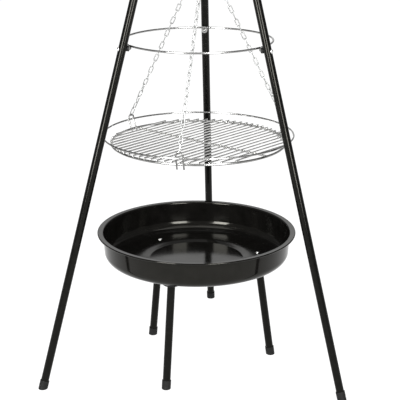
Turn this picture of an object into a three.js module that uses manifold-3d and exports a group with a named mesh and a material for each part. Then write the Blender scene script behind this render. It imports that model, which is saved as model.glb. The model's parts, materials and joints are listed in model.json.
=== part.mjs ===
// Campfire tripod: a round wire grate hung on chains over a fire bowl.
// Millimetres, +Z up. The origin is on the ground, in the middle of the object's bounding box,
// with the rear leg towards +Y.
import * as THREE from 'three';
import { mergeVertices } from 'three/addons/utils/BufferGeometryUtils.js';
import Module from 'manifold-3d';

const manifold = await Module();
manifold.setup();
const radians = THREE.MathUtils.degToRad;

// ---- Driving dimensions ----
const GAP = 0.3;                 // kept between neighbouring pieces
const TUBE = 20;                 // outer diameter of every leg tube
const TUBE_WALL = 1.2;
const CAP = { diameter: 23.2, height: 23, tubeEnd: 7.5 };
const SCREW = { shank: 4.8, hole: 5.6, head: 9 };

const TRIPOD_SIDES = { rear: 90, right: -30, left: 210 };
const TRIPOD_FOOT_RADIUS = 434.5;
const TRIPOD_SPLAY = radians(15.32);
const SECTION_NAMES = ['lower', 'middle', 'upper'];
const SECTION_LENGTH = 510;
const SPIGOT_LENGTH = 45;
const LEG_LENGTH = SECTION_LENGTH * SECTION_NAMES.length;

const SPREADER = { radius: 185, wire: 5, height: 857 };
const TAB = { width: 15.5, rise: 3, boltDrop: 7.4, thickness: 1.8 };
const SADDLE_DIAMETER = 13.5;

const HEAD = { radius: 50, thickness: 3, underside: 1484 };
const LUG = { thickness: 2.5, width: 22 };
const PIVOT_FROM_END = 12;
const EYE = { radius: 11, wire: 8, height: 1466, collar: 16 };

const HOOK = { wire: 5, bend: 6.5, length: 47.7 };
const HOIST = { width: 11.6, slot: 6.4, thickness: 2.6 };
const HOIST_TRAVEL = 114;        // spare chain below the lower hook
const LOWER_HOOK = { topBend: 8, offset: 14.5 };
const MASTER_RING = { radius: 17.5, wire: 5, bottom: 1065, spread: 7 };

const THIRDS = [0, 120, 240];
const GRATE_TURN = 24;           // azimuth of the first hanger and of the hooks
const BARS_TURN = 120;           // the cross bar runs through the second hanger
const RIM = { radius: 219.7, wire: 6, height: 597.5 };
const FENCE = { radius: 240.4, wire: 4.5, height: 617.1 };
const BAR = { diameter: 4, pitch: 18.1, perSide: 11, overhang: 3 };
const CROSS_BAR = { diameter: 5, weld: 0.4 };
const HANGER = { wire: 4, width: 17, top: 634, shoulder: 627, bottom: 586 };
const GRATE_CHAIN = 6;

const BOWL_CENTRE_X = -5;        // the bowl stands loose, a little off the tripod's axis
const BOWL_TURN = 12.5;          // azimuth of the first bowl leg
const BOWL = { floor: 290, recess: 285.5, recessRadius: 122, sheet: 1.5, corner: 24 };
const BOWL_WALL = { bottomRadius: 237, topRadius: 240, top: 356 };
const BOWL_LIP = { radius: 256, top: 362, bead: 4.6 };
const BOWL_LEG = { footRadius: 200.5, splay: radians(7.9), length: 286.5, plug: 8 };
const BOWL_SCREW = { shank: 3.5, hole: 4.1, head: 11, headHeight: 4, length: 22 };
const SOCKET = { diameter: 46, height: 20, corner: 3 };

// ---- Materials ----
const finish = (color, roughness, metalness) =>
  new THREE.MeshStandardMaterial({ color, roughness, metalness });
const blackPaint = finish(0x1d1d1b, 0.35, 0.1);
const blackPlastic = finish(0x121211, 0.6, 0);
const blackEnamel = finish(0x100f0e, 0.12, 0.1);
const chrome = finish(0xc9cac8, 0.18, 1);
const zinc = finish(0xb4b6b4, 0.32, 1);

// ---- Scene helpers ----
function solid(name, geometry, material) {
  const mesh = new THREE.Mesh(geometry, material);
  mesh.name = name;
  return mesh;
}

function at(azimuth, ...children) {
  const group = new THREE.Group();
  group.rotation.z = radians(azimuth);
  return group.add(...children);
}

// The frame of a leg that leans inwards: its foot on the ground at footRadius along +X, +Z up the leg.
function leaningFrame(footRadius, splay) {
  return new THREE.Matrix4().makeTranslation(footRadius, 0, 0)
    .multiply(new THREE.Matrix4().makeRotationY(-splay));
}

function leaning(footRadius, splay, ...children) {
  const group = new THREE.Group();
  group.applyMatrix4(leaningFrame(footRadius, splay));
  return group.add(...children);
}

// ---- Geometry helpers ----
function toManifold(geometry) {
  const bare = geometry.clone();
  bare.deleteAttribute('normal');
  bare.deleteAttribute('uv');
  const merged = mergeVertices(bare, 1e-4);
  return new manifold.Manifold(new manifold.Mesh({
    numProp: 3,
    vertProperties: new Float32Array(merged.attributes.position.array),
    triVerts: new Uint32Array(merged.index.array),
  }));
}

function fromManifold(body) {
  const { vertProperties, triVerts } = body.getMesh();
  const geometry = new THREE.BufferGeometry();
  geometry.setAttribute('position', new THREE.BufferAttribute(vertProperties, 3));
  return geometry.setIndex(new THREE.BufferAttribute(triVerts, 1));
}

function join(...geometries) {
  return fromManifold(geometries.map(toManifold).reduce((sum, next) => sum.add(next)));
}

function cut(geometry, ...tools) {
  const blank = toManifold(geometry);
  return fromManifold(tools.map(toManifold).reduce((rest, tool) => rest.subtract(tool), blank));
}

// An outline of [radius, height] points turned about Z, listed upwards along the outside.
function revolve(outline, sides = 12) {
  const points = outline.map(([radius, height]) => new THREE.Vector2(radius, height));
  return new THREE.LatheGeometry(points, sides).rotateX(Math.PI / 2);
}

// Points of an arc, from [x, z] centre, with angles in degrees from +X towards +Z.
function arc([x, z], radius, from, to, steps = 4) {
  const points = [];
  for (let i = 0; i <= steps; i++) {
    const angle = radians(from + (to - from) * i / steps);
    points.push([x + radius * Math.cos(angle), z + radius * Math.sin(angle)]);
  }
  return points;
}

function cylinder(diameter, from, to, sides = 12) {
  return new THREE.CylinderGeometry(diameter / 2, diameter / 2, to - from, sides)
    .rotateX(Math.PI / 2).translate(0, 0, (from + to) / 2);
}

function cylinderX(diameter, from, to) {
  return cylinder(diameter, from, to).rotateY(Math.PI / 2);
}

function cylinderY(diameter, from, to) {
  return cylinder(diameter, from, to).rotateX(-Math.PI / 2);
}

function sweep(path, diameter, steps) {
  const section = new THREE.Shape().absarc(0, 0, diameter / 2, 0, 2 * Math.PI);
  return new THREE.ExtrudeGeometry(section, { steps, curveSegments: 3, extrudePath: path });
}

// A wire bent in the XZ plane through [x, z] points.
function bentWire(points, diameter, steps) {
  const path = new THREE.CatmullRomCurve3(points.map(([x, z]) => new THREE.Vector3(x, 0, z)));
  return sweep(path, diameter, steps);
}

function ring(radius, diameter, segments) {
  return new THREE.TorusGeometry(radius, diameter / 2, 6, segments);
}

function hexagon(width) {
  const corners = THIRDS.flatMap((angle) => [angle, angle + 60]).map((angle) =>
    new THREE.Vector2(width / Math.sqrt(3), 0).rotateAround(new THREE.Vector2(), radians(angle)));
  return new THREE.Shape(corners);
}

// Plain hexagonal nut with its lower face at z = 0.
function hexNut(width, height, hole) {
  const outline = hexagon(width);
  outline.holes.push(new THREE.Path().absarc(0, 0, hole / 2, 0, 2 * Math.PI, true));
  return new THREE.ExtrudeGeometry(outline, { depth: height, bevelEnabled: false, curveSegments: 6 });
}

// Closed dome nut with its lower face at z = 0 and a blind bore.
function acornNut(diameter, bore) {
  const base = 3;
  const dome = arc([0, base], diameter / 2, 0, 90, 3);
  return revolve([[0, base + 2], [bore / 2, base + 2], [bore / 2, 0], [diameter / 2, 0], ...dome]);
}

function domedHead(diameter, height) {
  const dome = arc([0, 0], diameter / 2, 0, 90, 3);
  return revolve([[0, 0], ...dome]).scale(1, 1, height * 2 / diameter);
}

// ---- Feet, shared by the tripod and the bowl ----
// A cap over the tube's end, cut flat by the ground, in the leg's frame.
function footCap(splay) {
  const bore = TUBE / 2 + GAP;
  const outer = CAP.diameter / 2;
  const cup = revolve([
    [0, -8], [outer, -8], [outer, CAP.height - 1], [outer - 0.5, CAP.height],
    [bore, CAP.height], [bore, CAP.tubeEnd - GAP], [0, CAP.tubeEnd - GAP],
  ]);
  const ground = new THREE.BoxGeometry(90, 90, 40).translate(0, 0, -20).rotateY(splay);
  return cut(cup, ground);
}

// ---- Tripod legs ----
const legFrame = leaningFrame(TRIPOD_FOOT_RADIUS, TRIPOD_SPLAY);
const boltHeight = SPREADER.height - TAB.boltDrop;
const legRadiusAtBolt = TRIPOD_FOOT_RADIUS - boltHeight * Math.tan(TRIPOD_SPLAY);
const pivot = new THREE.Vector3(0, 0, LEG_LENGTH - PIVOT_FROM_END).applyMatrix4(legFrame);

function legSection(index) {
  const outer = TUBE / 2;
  const inner = outer - TUBE_WALL;
  const top = (index + 1) * SECTION_LENGTH - GAP / 2;
  if (index === 0) {
    const end = CAP.tubeEnd;
    return revolve([[inner, end], [outer, end], [outer, top], [inner, top], [inner, end]]);
  }
  const shoulder = index * SECTION_LENGTH + GAP / 2;
  const end = shoulder - SPIGOT_LENGTH;
  const spigot = inner - GAP;
  const bore = spigot - TUBE_WALL;
  return revolve([
    [bore, end], [spigot, end], [spigot, shoulder], [outer, shoulder], [outer, top],
    [inner, top], [inner, shoulder + 2], [bore, shoulder], [bore, end],
  ]);
}

// The cross hole of each bored section, in the leg's frame.
function legHole(part) {
  const hole = part === 'upper'
    ? cylinderY(SCREW.hole, -TUBE, TUBE).translate(pivot.x, 0, pivot.z)
    : cylinderX(SCREW.hole, -TUBE, TUBE).translate(legRadiusAtBolt, 0, boltHeight);
  return hole.applyMatrix4(legFrame.clone().invert());
}

function tripodLeg(side) {
  const sections = SECTION_NAMES.map((part, index) => {
    const blank = legSection(index);
    const body = part === 'lower' ? blank : cut(blank, legHole(part));
    return solid(`leg_${side}_${part}`, body, blackPaint);
  });
  const cap = solid(`leg_${side}_cap`, footCap(TRIPOD_SPLAY), blackPlastic);
  return leaning(TRIPOD_FOOT_RADIUS, TRIPOD_SPLAY, ...sections, cap);
}

// ---- Spreader ring and its fasteners; +X points outwards through the leg ----
const tabOutside = SPREADER.radius + SPREADER.wire / 2;
const tabInside = tabOutside - TAB.thickness;

function legClearance() {
  return cylinder(TUBE + 2 * GAP, 0, LEG_LENGTH).applyMatrix4(legFrame);
}

function spreaderTab() {
  const plateHeight = TAB.boltDrop + TAB.rise;
  const plate = new THREE.BoxGeometry(TAB.thickness, TAB.width, plateHeight)
    .translate((tabInside + tabOutside) / 2, 0, boltHeight + plateHeight / 2);
  const end = cylinderX(TAB.width, tabInside, tabOutside).translate(0, 0, boltHeight);
  const hole = cylinderX(SCREW.hole, tabInside - 5, tabOutside + 5).translate(0, 0, boltHeight);
  return cut(join(plate, end), hole);
}

function spreaderRing() {
  const hoop = ring(SPREADER.radius, SPREADER.wire, 60).translate(0, 0, SPREADER.height);
  const tabs = Object.values(TRIPOD_SIDES).map((azimuth) => spreaderTab().rotateZ(radians(azimuth)));
  return solid('spreader_ring', join(hoop, ...tabs), chrome);
}

function ringSaddle(side) {
  const block = cylinderX(SADDLE_DIAMETER, tabOutside + GAP, legRadiusAtBolt);
  const hole = cylinderX(SCREW.hole, 0, legRadiusAtBolt);
  const onBolt = (geometry) => geometry.translate(0, 0, boltHeight);
  return solid(`ring_saddle_${side}`, cut(onBolt(block), legClearance(), onBolt(hole)), blackPlastic);
}

function ringBolt(side) {
  const skin = legRadiusAtBolt + TUBE / 2 / Math.cos(TRIPOD_SPLAY);
  const head = cylinderX(SCREW.head, legRadiusAtBolt, skin + 2.6).translate(0, 0, boltHeight);
  const tip = tabInside - 4.5;
  const shank = cylinderX(SCREW.shank, tip, skin + 1).translate(0, 0, boltHeight);
  return solid(`ring_bolt_${side}`, join(cut(head, legClearance()), shank), chrome);
}

function ringNut(side) {
  const nut = acornNut(SCREW.head, SCREW.hole).rotateY(-Math.PI / 2);
  nut.translate(tabInside - GAP, 0, boltHeight);
  return solid(`ring_nut_${side}`, nut, chrome);
}

// ---- Head: a plate with a pair of lugs for each leg ----
const lugInside = TUBE / 2 + GAP;
const lugOutside = lugInside + LUG.thickness;

function lug() {
  const height = HEAD.underside - pivot.z + 1;
  const plate = new THREE.BoxGeometry(LUG.width, LUG.thickness, height)
    .translate(pivot.x, 0, pivot.z + height / 2);
  const end = cylinderY(LUG.width, -LUG.thickness / 2, LUG.thickness / 2).translate(pivot.x, 0, pivot.z);
  const hole = cylinderY(SCREW.hole, -TUBE, TUBE).translate(pivot.x, 0, pivot.z);
  return cut(join(plate, end), hole);
}

function headPlate() {
  const lugs = Object.values(TRIPOD_SIDES).flatMap((azimuth) => [-1, 1].map((side) =>
    lug().translate(0, side * (lugInside + lugOutside) / 2, 0).rotateZ(radians(azimuth))));
  const disc = cylinder(HEAD.radius * 2, HEAD.underside, HEAD.underside + HEAD.thickness, 24);
  const hole = cylinder(EYE.wire + 2 * GAP, HEAD.underside - 5, HEAD.underside + 20);
  return solid('head_plate', cut(join(disc, ...lugs), hole), blackPaint);
}

function pivotBolt(side) {
  const head = cylinderY(SCREW.head, lugOutside + GAP, lugOutside + 4);
  const shank = cylinderY(SCREW.shank, -lugOutside - 7, lugOutside + 1);
  const bolt = join(head, shank).translate(pivot.x, 0, pivot.z);
  return solid(`pivot_bolt_${side}`, bolt, zinc);
}

function pivotNut(side) {
  const nut = hexNut(SCREW.head, 5, SCREW.hole).rotateX(Math.PI / 2);
  nut.translate(pivot.x, -lugOutside - GAP, pivot.z);
  return solid(`pivot_nut_${side}`, nut, zinc);
}

// ---- Hanging gear; +X is the plane of the hooks ----
function eyeBolt() {
  const eye = ring(EYE.radius, EYE.wire, 16).rotateX(Math.PI / 2).rotateZ(Math.PI / 2);
  const shankTop = HEAD.underside + HEAD.thickness + 14;
  const shank = cylinder(EYE.wire, EYE.height + EYE.radius, shankTop);
  const collar = cylinder(EYE.collar, HEAD.underside - GAP - 2.5, HEAD.underside - GAP);
  return solid('eye_bolt', join(eye.translate(0, 0, EYE.height), shank, collar), zinc);
}

function eyeBoltNut() {
  const nut = hexNut(13, 6.5, EYE.wire + 2 * GAP);
  return solid('eye_bolt_nut', nut.translate(0, 0, HEAD.underside + HEAD.thickness + GAP), zinc);
}

const topHookHeight = EYE.height - EYE.radius;
const topHookLow = topHookHeight - HOOK.length;

function topHook() {
  const bend = EYE.wire / 2 + HOOK.wire / 2 + 2 * GAP;
  const shape = [
    ...arc([0, topHookHeight], bend, 215, 0, 8),
    ...arc([0, topHookLow], HOOK.bend, 180, 325),
  ];
  return solid('top_hook', bentWire(shape, HOOK.wire, 22), zinc);
}

const ringTop = MASTER_RING.bottom + MASTER_RING.wire / 2 + 2 * MASTER_RING.radius;
const lowerBendHeight = ringTop + HOOK.bend - HOOK.wire / 2 - MASTER_RING.wire / 2 - GAP;
const chainHookHeight = lowerBendHeight + HOOK.length;

// The hoist chain as one long plain link, so that the lower hook can be set at any link.
function hoistChain() {
  const top = topHookLow - HOOK.bend + HOOK.wire / 2 + GAP;
  const hookWireLow = chainHookHeight + LOWER_HOOK.topBend - HOOK.wire / 2;
  const bottom = hookWireLow - HOIST_TRAVEL - GAP;
  const stadium = (Outline, width, low, high) => {
    const radius = width / 2;
    return new Outline().absarc(0, high - radius, radius, 0, Math.PI)
      .absarc(0, low + radius, radius, Math.PI, 2 * Math.PI);
  };
  const wall = (HOIST.width - HOIST.slot) / 2;
  const outline = stadium(THREE.Shape, HOIST.width, bottom - wall, top + wall);
  outline.holes.push(stadium(THREE.Path, HOIST.slot, bottom, top));
  const plate = new THREE.ExtrudeGeometry(outline,
    { depth: HOIST.thickness, bevelEnabled: false, curveSegments: 8 });
  plate.translate(0, 0, -HOIST.thickness / 2).rotateX(Math.PI / 2).rotateZ(Math.PI / 2);
  return solid('hoist_chain', plate, zinc);
}

function chainHook() {
  const shape = [
    ...arc([0, chainHookHeight], LOWER_HOOK.topBend, 215, 0, 8),
    ...arc([LOWER_HOOK.offset, lowerBendHeight], HOOK.bend, 180, 325),
  ];
  return solid('chain_hook', bentWire(shape, HOOK.wire, 22), zinc);
}

function masterRing() {
  const hoop = ring(MASTER_RING.radius, MASTER_RING.wire, 20).rotateY(Math.PI / 2);
  return solid('master_ring', hoop.translate(LOWER_HOOK.offset, 0, ringTop - MASTER_RING.radius), zinc);
}

// ---- Grate ----
// A hanger runs outside the rim and inside the fence, touching both.
const toRim = RIM.wire / 2 + HANGER.wire / 2 + GAP;
const toFence = FENCE.wire / 2 + HANGER.wire / 2 + 2 * GAP;
const fenceFromRim = new THREE.Vector2(FENCE.radius - RIM.radius, FENCE.height - RIM.height);
const hangerLean = Math.atan2(fenceFromRim.x, fenceFromRim.y)
  - Math.asin((toRim + toFence) / fenceFromRim.length());
const hangerFoot = RIM.radius + toRim / Math.cos(hangerLean);
const hangerRadiusAt = (height) => hangerFoot + (height - RIM.height) * Math.tan(hangerLean);
const hangerShoulder = hangerRadiusAt(FENCE.height);
const hangerApex = new THREE.Vector3(hangerShoulder, 0, HANGER.top - HANGER.wire / 2);

function hanger(number) {
  const half = HANGER.width / 2;
  const side = (sign) => [
    new THREE.Vector3(hangerRadiusAt(HANGER.bottom), sign * half, HANGER.bottom),
    new THREE.Vector3(hangerRadiusAt(RIM.height), sign * half, RIM.height),
    new THREE.Vector3(hangerShoulder, sign * half, FENCE.height),
    new THREE.Vector3(hangerShoulder, sign * half, HANGER.shoulder - 3),
    new THREE.Vector3(hangerShoulder, sign * half * 0.75, HANGER.shoulder + 1),
  ];
  const path = new THREE.CatmullRomCurve3([...side(-1), hangerApex, ...side(1).reverse()],
    false, 'centripetal');
  return solid(`hanger_${number}`, sweep(path, HANGER.wire, 18), chrome);
}

// A chain from the master ring down to a hanger, as one plain rod.
function grateChain(number, azimuth) {
  const side = Math.sign(Math.round(Math.sin(radians(azimuth)) * 10));
  const sideways = side * MASTER_RING.spread;
  const ringWire = ringTop - MASTER_RING.radius - Math.sqrt(MASTER_RING.radius ** 2 - sideways ** 2);
  const top = new THREE.Vector3(LOWER_HOOK.offset, sideways, ringWire);
  const low = hangerApex.clone().applyAxisAngle(new THREE.Vector3(0, 0, 1), radians(azimuth));
  const along = low.clone().sub(top).normalize();
  top.addScaledVector(along, MASTER_RING.wire / 2 + 2 * GAP);
  low.addScaledVector(along, -HANGER.wire / 2 - 2 * GAP);
  return solid(`grate_chain_${number}`, sweep(new THREE.LineCurve3(top, low), GRATE_CHAIN, 1), zinc);
}

function grateRim() {
  return solid('grate_rim', ring(RIM.radius, RIM.wire, 60).translate(0, 0, RIM.height), chrome);
}

function fenceRing() {
  return solid('fence_ring', ring(FENCE.radius, FENCE.wire, 60).translate(0, 0, FENCE.height), chrome);
}

function grateBars() {
  const height = RIM.height + RIM.wire / 2 + GAP + BAR.diameter / 2;
  const bars = [];
  for (let i = -BAR.perSide; i <= BAR.perSide; i++) {
    const x = i * BAR.pitch;
    const half = Math.sqrt(RIM.radius ** 2 - x ** 2) + BAR.overhang;
    bars.push(cylinder(BAR.diameter, -half, half, 6).rotateX(-Math.PI / 2).translate(x, 0, height));
  }
  const reach = RIM.radius - RIM.wire / 2 - 3 * GAP;
  const below = BAR.diameter / 2 + CROSS_BAR.diameter / 2 - CROSS_BAR.weld;
  const crossBar = cylinder(CROSS_BAR.diameter, -reach, reach, 6).rotateY(Math.PI / 2);
  return solid('grate_bars', join(crossBar.translate(0, 0, height - below), ...bars), chrome);
}

// ---- Fire bowl ----
function bowl() {
  const { sheet, corner } = BOWL;
  const centre = [BOWL_WALL.bottomRadius - corner, BOWL.floor - sheet + corner];
  const bead = BOWL_LIP.bead / 2;
  const beadCentre = [BOWL_LIP.radius - bead, BOWL_LIP.top - bead];
  const under = [
    [0, BOWL.recess - sheet], [BOWL.recessRadius - 2, BOWL.recess - sheet],
    [BOWL.recessRadius + 3, BOWL.floor - sheet], ...arc(centre, corner, -90, 0),
    [BOWL_WALL.topRadius, BOWL_WALL.top], [BOWL_WALL.topRadius + 3, BOWL_LIP.top - 1 - sheet],
  ];
  const inside = [
    [BOWL_WALL.topRadius + 2.5, BOWL_LIP.top - 0.5], [BOWL_WALL.topRadius - sheet, BOWL_WALL.top],
    ...arc(centre, corner - sheet, 0, -90),
    [BOWL.recessRadius + 2.5, BOWL.floor], [BOWL.recessRadius - 2.5, BOWL.recess], [0, BOWL.recess],
  ];
  const shell = revolve([...under, ...arc(beadCentre, bead, -120, 90), ...inside], 48);
  const screwHoles = THIRDS.map((azimuth) => screwDrill().rotateZ(radians(BOWL_TURN + azimuth)));
  return solid('fire_bowl', cut(shell, ...screwHoles), blackEnamel);
}

const bowlLegFrame = leaningFrame(BOWL_LEG.footRadius, BOWL_LEG.splay);
const bowlLegTop = new THREE.Vector3(0, 0, BOWL_LEG.length).applyMatrix4(bowlLegFrame);

function screwDrill() {
  return cylinder(BOWL_SCREW.hole, bowlLegTop.z - 30, BOWL.floor + 10).translate(bowlLegTop.x, 0, 0);
}

function bowlSocket(number) {
  const top = BOWL.floor - BOWL.sheet - GAP;
  const edge = SOCKET.diameter / 2;
  const bottom = top - SOCKET.height;
  const corner = arc([edge - SOCKET.corner, bottom + SOCKET.corner], SOCKET.corner, -90, 0, 3);
  const block = revolve([[0, bottom], ...corner, [edge, top], [0, top]], 16);
  const bore = cylinder(TUBE + 2 * GAP, 0, BOWL_LEG.length + GAP).applyMatrix4(bowlLegFrame);
  const body = cut(block.translate(bowlLegTop.x, 0, 0), bore, screwDrill());
  return solid(`bowl_socket_${number}`, body, blackPlastic);
}

function bowlScrew(number) {
  const seat = BOWL.floor + GAP;
  const shank = cylinder(BOWL_SCREW.shank, seat - BOWL_SCREW.length, seat + 1);
  const head = domedHead(BOWL_SCREW.head, BOWL_SCREW.headHeight).translate(0, 0, seat);
  const screw = join(head, shank).translate(bowlLegTop.x, 0, 0);
  return solid(`bowl_screw_${number}`, screw, chrome);
}

function bowlLeg(number) {
  const outer = TUBE / 2;
  const inner = outer - TUBE_WALL;
  const end = CAP.tubeEnd;
  const top = BOWL_LEG.length;
  const blank = revolve([
    [inner, end], [outer, end], [outer, top], [0, top], [0, top - BOWL_LEG.plug],
    [inner, top - BOWL_LEG.plug], [inner, end],
  ]);
  const drill = screwDrill().applyMatrix4(bowlLegFrame.clone().invert());
  const tube = solid(`bowl_leg_${number}`, cut(blank, drill), blackPaint);
  const cap = solid(`bowl_leg_cap_${number}`, footCap(BOWL_LEG.splay), blackPlastic);
  return leaning(BOWL_LEG.footRadius, BOWL_LEG.splay, tube, cap);
}

// ---- Assembly ----
const tripodGrate = new THREE.Group();

for (const [side, azimuth] of Object.entries(TRIPOD_SIDES)) {
  tripodGrate.add(at(azimuth, tripodLeg(side), ringSaddle(side), ringBolt(side), ringNut(side),
    pivotBolt(side), pivotNut(side)));
}
tripodGrate.add(spreaderRing(), headPlate());

const hanging = at(GRATE_TURN, eyeBolt(), eyeBoltNut(), topHook(), hoistChain(), chainHook(),
  masterRing(), grateRim(), fenceRing(), at(BARS_TURN, grateBars()));
THIRDS.forEach((azimuth, index) => {
  hanging.add(at(azimuth, hanger(index + 1)), grateChain(index + 1, azimuth));
});
tripodGrate.add(hanging);

const bowlStand = new THREE.Group().add(bowl());
THIRDS.forEach((azimuth, index) => {
  const number = index + 1;
  bowlStand.add(at(BOWL_TURN + azimuth, bowlSocket(number), bowlScrew(number), bowlLeg(number)));
});
bowlStand.position.x = BOWL_CENTRE_X;
tripodGrate.add(bowlStand);

const box = new THREE.Box3().setFromObject(tripodGrate, true);
const middle = box.getCenter(new THREE.Vector3());
tripodGrate.position.set(-middle.x, -middle.y, -box.min.z);

export default tripodGrate;
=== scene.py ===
"""Campfire tripod: a round wire grate hung on chains over a fire bowl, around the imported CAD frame.

Metres, +Z up, in the CAD model's own frame.
"""

import json
from math import acos, asin, atan2, ceil, cos, degrees, pi, radians, sin, sqrt, tan

import bpy
from mathutils import Matrix, Vector


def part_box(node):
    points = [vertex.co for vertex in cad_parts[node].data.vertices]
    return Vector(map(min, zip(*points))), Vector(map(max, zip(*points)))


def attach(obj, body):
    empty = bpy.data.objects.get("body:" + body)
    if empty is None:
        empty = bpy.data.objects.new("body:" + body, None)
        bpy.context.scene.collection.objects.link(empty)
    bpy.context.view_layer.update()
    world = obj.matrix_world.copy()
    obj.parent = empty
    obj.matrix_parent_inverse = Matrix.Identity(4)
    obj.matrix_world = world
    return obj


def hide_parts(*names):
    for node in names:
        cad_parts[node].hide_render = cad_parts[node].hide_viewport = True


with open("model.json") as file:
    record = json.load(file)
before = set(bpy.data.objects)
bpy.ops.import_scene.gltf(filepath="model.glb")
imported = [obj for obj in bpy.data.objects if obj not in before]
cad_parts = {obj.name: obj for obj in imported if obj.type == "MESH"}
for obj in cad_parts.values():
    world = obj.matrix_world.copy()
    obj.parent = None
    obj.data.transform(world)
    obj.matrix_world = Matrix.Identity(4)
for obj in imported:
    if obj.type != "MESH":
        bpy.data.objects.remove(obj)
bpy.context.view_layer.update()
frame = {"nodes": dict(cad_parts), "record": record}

MM = 0.001
UP = Vector((0, 0, 1))

# ---- Driving dimensions; places come from the frame ----
TUBE = 10 * MM                   # outer radius of every leg tube
TUBE_INSIDE = 8.8 * MM
TUBE_EDGE = 0.7 * MM             # rounding of the tube ends
SECTION = 510 * MM
SECTION_GAP = 0.3 * MM
SPIGOT = 8.4 * MM                # radius of the swaged end that plugs into the section below
SPIGOT_LENGTH = 45 * MM
CAP_START = 7.5 * MM
CAP = 11.6 * MM
CAP_HEIGHT = 23 * MM
SIDES = {"rear": 90, "right": -30, "left": 210}    # azimuths of the tripod legs
PARTS = ("lower", "middle", "upper")
THIRDS = (0, 120, 240)           # azimuths of whatever comes in threes, from its own start

RING_RADIUS = 185 * MM
RING_WIRE = 2.5 * MM             # every wire is given by its radius
RING_ABOVE_BOLT = 7.4 * MM
TAB_WIDTH = 15.5 * MM
TAB_THICKNESS = 1.8 * MM
TAB_ABOVE_WIRE = 3 * MM
SCREW = 2.4 * MM                 # radius of the screws in the ring's tabs and the head's lugs
SCREW_HOLE = 2.8 * MM
SCREW_HEAD = 4.9 * MM
NUT_ACROSS = 8.4 * MM

RIM_WIRE = 3 * MM
FENCE_WIRE = 2.25 * MM
BAR = 2 * MM
BAR_PITCH = 18.1 * MM
BARS_PER_SIDE = 11
BAR_OVERHANG = 3 * MM
CROSS_BAR = 2.5 * MM
HANGER_WIRE = 2 * MM
HANGER_HALF_WIDTH = 8.5 * MM
GRATE_TURN = 24                  # azimuth of the first hanger
BARS_TURN = 144                  # azimuth of the cross bar

HEAD_RADIUS = 50 * MM
HEAD_THICKNESS = 3 * MM
LUG_THICKNESS = 2.5 * MM
LUG_HALF_WIDTH = 11 * MM
LUG_MIDDLE = 11.55 * MM          # from the leg's middle to the middle of each lug
PIVOT_SEAT = 12.8 * MM           # from the leg's middle to the outside of each lug

HOOK_WIRE = 2.5 * MM
TOP_BEND = 7.1 * MM              # bends are given by the radius of the wire's middle
HOOK_BEND = 6.5 * MM
LOWER_TOP_BEND = 8 * MM
EYE_RADIUS = 11 * MM
EYE_WIRE = 4 * MM
HOIST_WIRE = 1.3 * MM
HOIST_WIDTH = 11.6 * MM
HOIST_PITCH = 19 * MM
HOIST_LINKS = 19
LINK_WIRE = 1.25 * MM
LINK_WIDTH = 10.4 * MM
LINKS = 25                       # in each grate chain, without the long one
END_LINKS = 7                    # over which a chain twists from its middle to each end
MIDDLE_TURNS = (15, 28, -30)     # of the links in the middle of each chain, in degrees
LONG_LINK = 23 * MM              # inner length of the link on the hanger
RING_SPREAD = 7 * MM             # between the chains on the master ring

BOWL_SHEET = 1.5 * MM
BOWL_CORNER = 24 * MM
BOWL_TURN = 12.5
RECESS_RADIUS = 122 * MM
RECESS_DEPTH = 4.5 * MM
RECESS_SLOPE = 43 * MM           # how far the recess's edge runs out into the floor
WALL_FOOT_RADIUS = 238.5 * MM
WALL_TOP_RADIUS = 241.5 * MM
LIP_BEAD = 2.3 * MM
BOWL_LEG_TOP = 286.5 * MM


def middle(node):
    low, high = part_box(node)
    return (low + high) / 2


def mount(name):
    return next(Vector(m["pos_m"]) for m in frame["record"]["mounts"] if m["name"] == name)


def far_end(node, side):
    """The middle of a CAD node's highest (side 1) or lowest (side -1) corners."""
    points = [vertex.co for vertex in frame["nodes"][node].data.vertices]
    edge = max(side * point.z for point in points)
    ends = [point for point in points if side * point.z > edge - 0.5 * MM]
    return sum(ends, Vector()) / len(ends)


AXIS = middle("head_plate")
AXIS.z = 0


def polar(azimuth, radius, height):
    """The point at that distance from the tripod's axis."""
    angle = radians(azimuth)
    return Vector((AXIS.x + radius * cos(angle), AXIS.y + radius * sin(angle), height))


def direction(azimuth):
    return Vector((cos(radians(azimuth)), sin(radians(azimuth)), 0))


# ---- Camera: a long lens in front of the tripod, looking down on the bowl ----
CAMERA_AZIMUTH = -85.05          # of the camera, seen from the tripod's axis
CAMERA_DISTANCE = 2.9959
CAMERA_HEIGHT = 1.3767
CAMERA_HEADING = 94.8694         # of its line of sight
CAMERA_PITCH = 17.32             # below level
CAMERA_LENS = 109.95             # on a 36 mm sensor


def make_camera():
    data = bpy.data.cameras.new("camera")
    data.sensor_width = 36
    data.lens = CAMERA_LENS
    data.clip_end = 100
    camera = bpy.data.objects.new("camera", data)
    bpy.context.scene.collection.objects.link(camera)
    camera.location = polar(CAMERA_AZIMUTH, CAMERA_DISTANCE, CAMERA_HEIGHT)
    camera.rotation_euler = (radians(90 - CAMERA_PITCH), 0, radians(CAMERA_HEADING - 90))
    bpy.context.scene.camera = camera


make_camera()


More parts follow.
